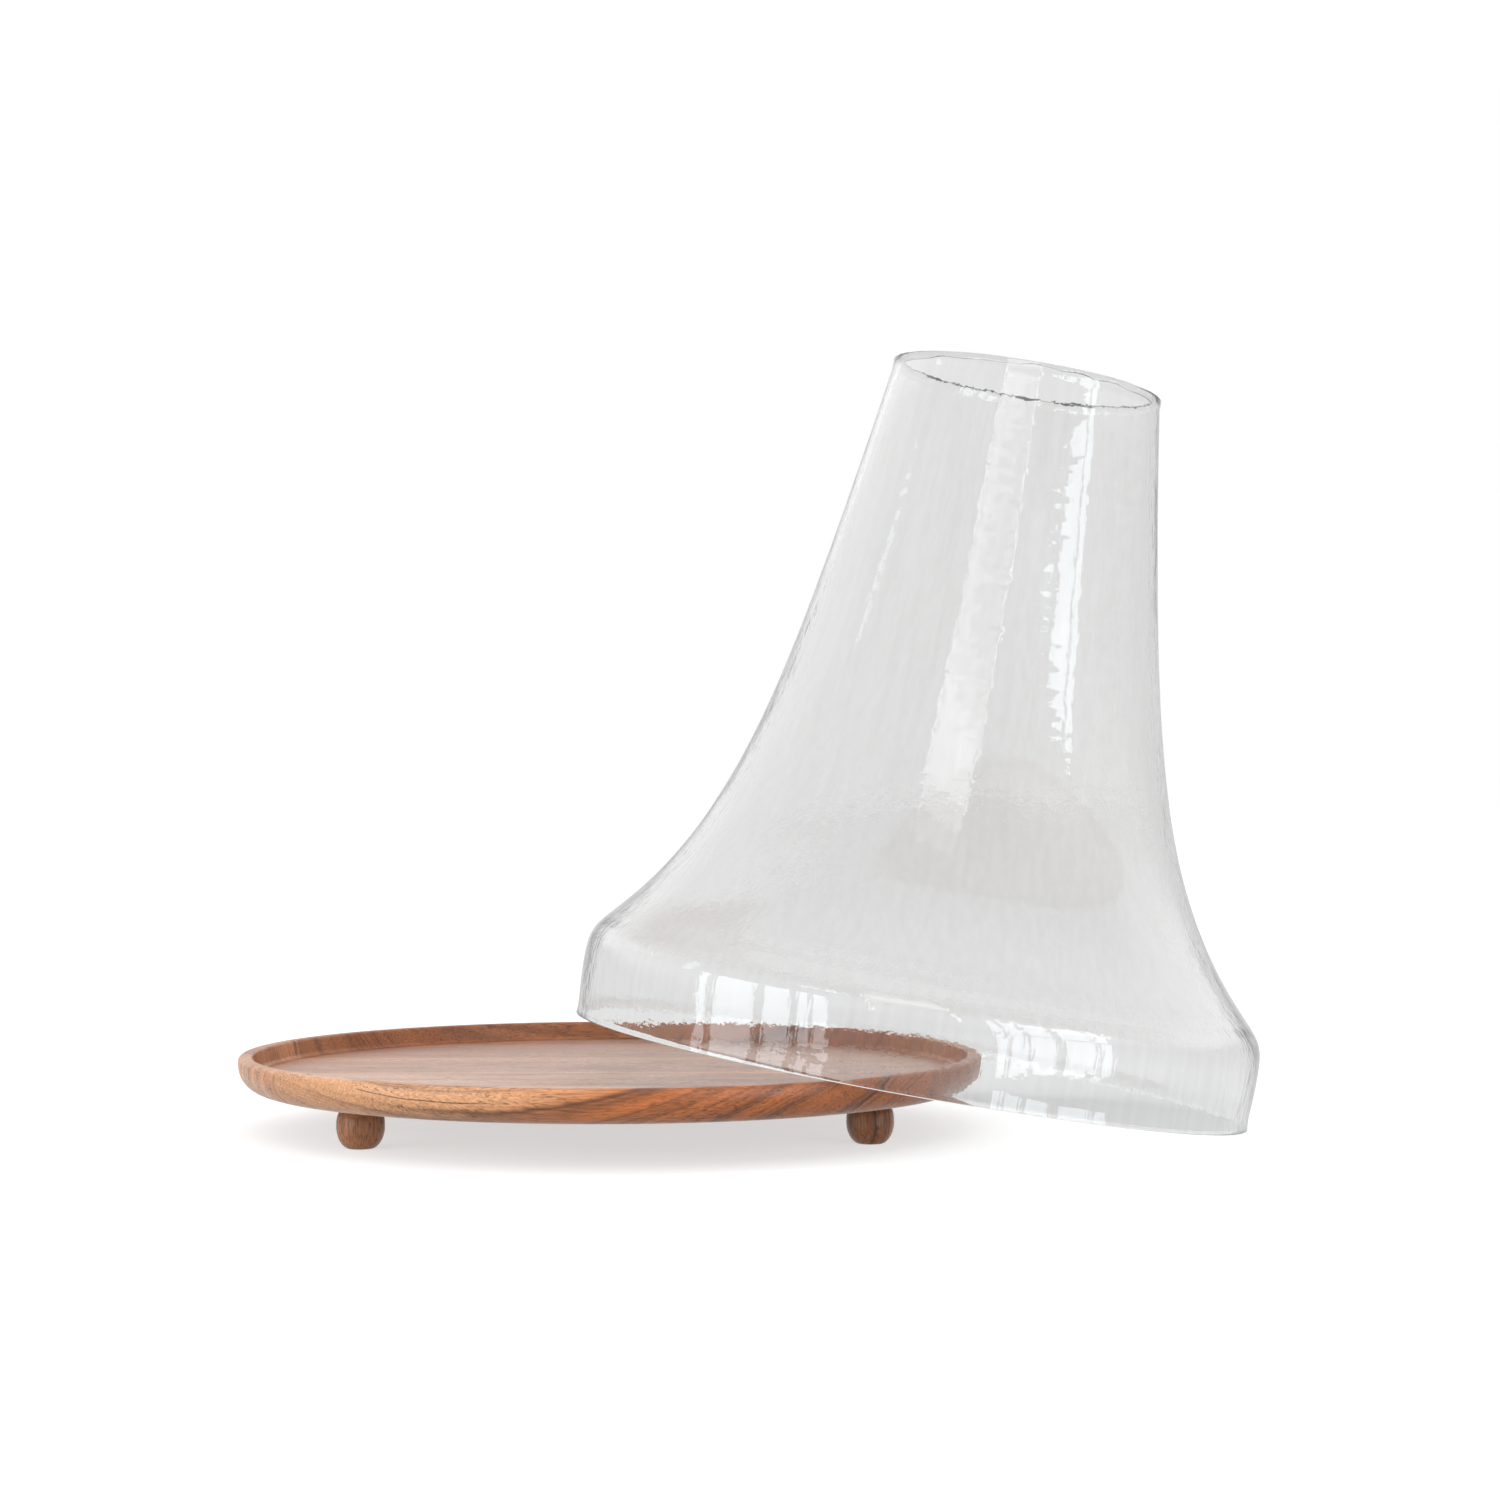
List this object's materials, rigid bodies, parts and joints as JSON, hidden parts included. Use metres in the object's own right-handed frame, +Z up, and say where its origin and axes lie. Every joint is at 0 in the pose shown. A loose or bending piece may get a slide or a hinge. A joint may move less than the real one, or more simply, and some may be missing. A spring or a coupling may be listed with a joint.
{
  "type": "glass bell dome with footed tray",
  "caption": "Open-topped blown glass bell with a flared skirt and long neck, leaning on the raised rim of a round wooden tray with turned bun feet.",
  "frame": {"origin": "on the surface that the set stands on, under the middle of its overall length and width", "axes": "+Z up; +X from the tray towards the leaning bell, along the set's length; +Y towards the back foot"},
  "size_m": [0.5528, 0.4, 0.4208],
  "materials": {
    "board_wood": "satin oiled reddish brown hardwood with long dark figure",
    "foot_wood": "satin oiled dark brown turned hardwood",
    "screw_steel": "zinc-plated",
    "clear_glass": "clear hand-blown, slightly wavy"
  },
  "bodies": {
    "tray": {"front_board": "board_wood", "front_middle_board": "board_wood", "middle_board": "board_wood", "back_middle_board": "board_wood", "back_board": "board_wood", "front_left_foot": "foot_wood", "front_right_foot": "foot_wood", "back_foot": "foot_wood", "front_left_screw": "screw_steel", "front_right_screw": "screw_steel", "back_screw": "screw_steel"},
    "bell": {"glass_bell": "clear_glass"}
  },
  "joints": [
    {"name": "bell_lift", "type": "slide", "parent": "tray", "child": "bell", "axis": [0, 0, 1], "range_m": [0, 0.4]}
  ]
}
